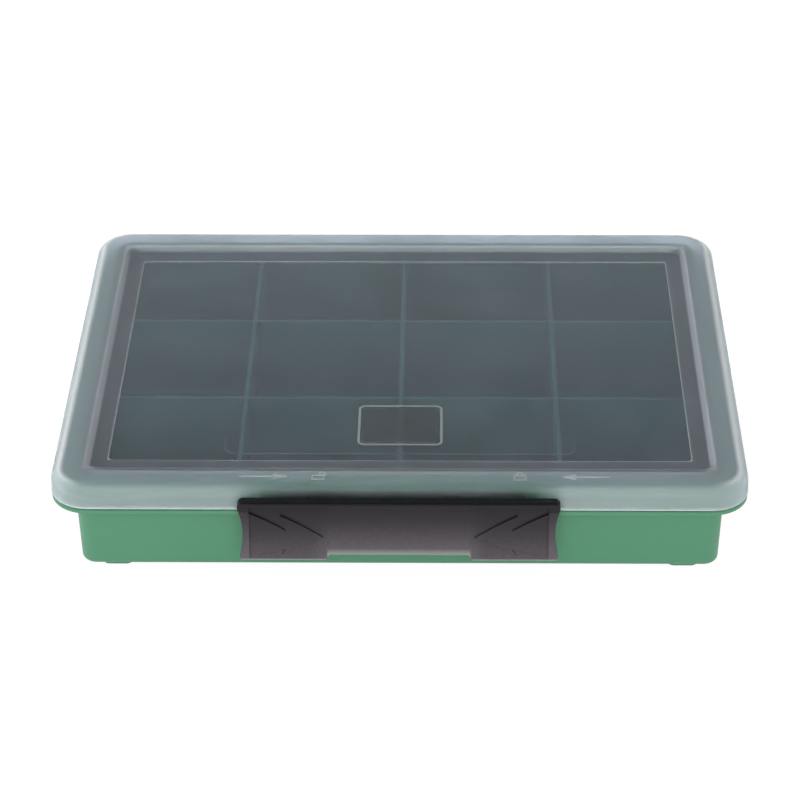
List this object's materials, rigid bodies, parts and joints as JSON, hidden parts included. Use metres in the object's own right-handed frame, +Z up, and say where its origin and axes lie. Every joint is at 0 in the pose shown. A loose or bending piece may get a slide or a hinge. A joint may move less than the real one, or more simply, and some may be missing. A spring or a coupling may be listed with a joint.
{
  "type": "compartment organizer box",
  "caption": "Shallow tapered tray with slot-in dividers, a frosted hinged lid recessed on top for stacking, and a wide front latch that slides sideways to free the lid.",
  "frame": {"origin": "centre of the closed box's footprint, latch and hinges included, on the plane that the feet stand on", "axes": "+X to the right seen from the latch side, +Y towards the hinges, +Z up"},
  "size_m": [0.338, 0.2687, 0.0586],
  "materials": {
    "tray_green": "satin moulded",
    "divider_green": "satin moulded",
    "lid_frosted": "frosted, see-through",
    "latch_black": "satin moulded",
    "pin_steel": "drawn wire"
  },
  "bodies": {
    "tray": {"tray": "tray_green", "hinge_pin_left": "pin_steel", "hinge_pin_centre": "pin_steel", "hinge_pin_right": "pin_steel", "divider_long_left": "divider_green", "divider_long_centre": "divider_green", "divider_long_right": "divider_green", "divider_front_1": "divider_green", "divider_front_2": "divider_green", "divider_front_3": "divider_green", "divider_front_4": "divider_green", "divider_rear_1": "divider_green", "divider_rear_2": "divider_green", "divider_rear_3": "divider_green", "divider_rear_4": "divider_green"},
    "lid": {"lid": "lid_frosted"},
    "latch": {"slide_latch": "latch_black"}
  },
  "joints": [
    {"name": "lid_hinge", "type": "hinge", "parent": "tray", "child": "lid", "pos_m": [0, 0.13115, 0.0451], "axis": [-1, 0, 0], "range_deg": [0, 175]},
    {"name": "latch_slide", "type": "slide", "parent": "tray", "child": "latch", "axis": [1, 0, 0], "range_m": [0, 0.012]}
  ]
}
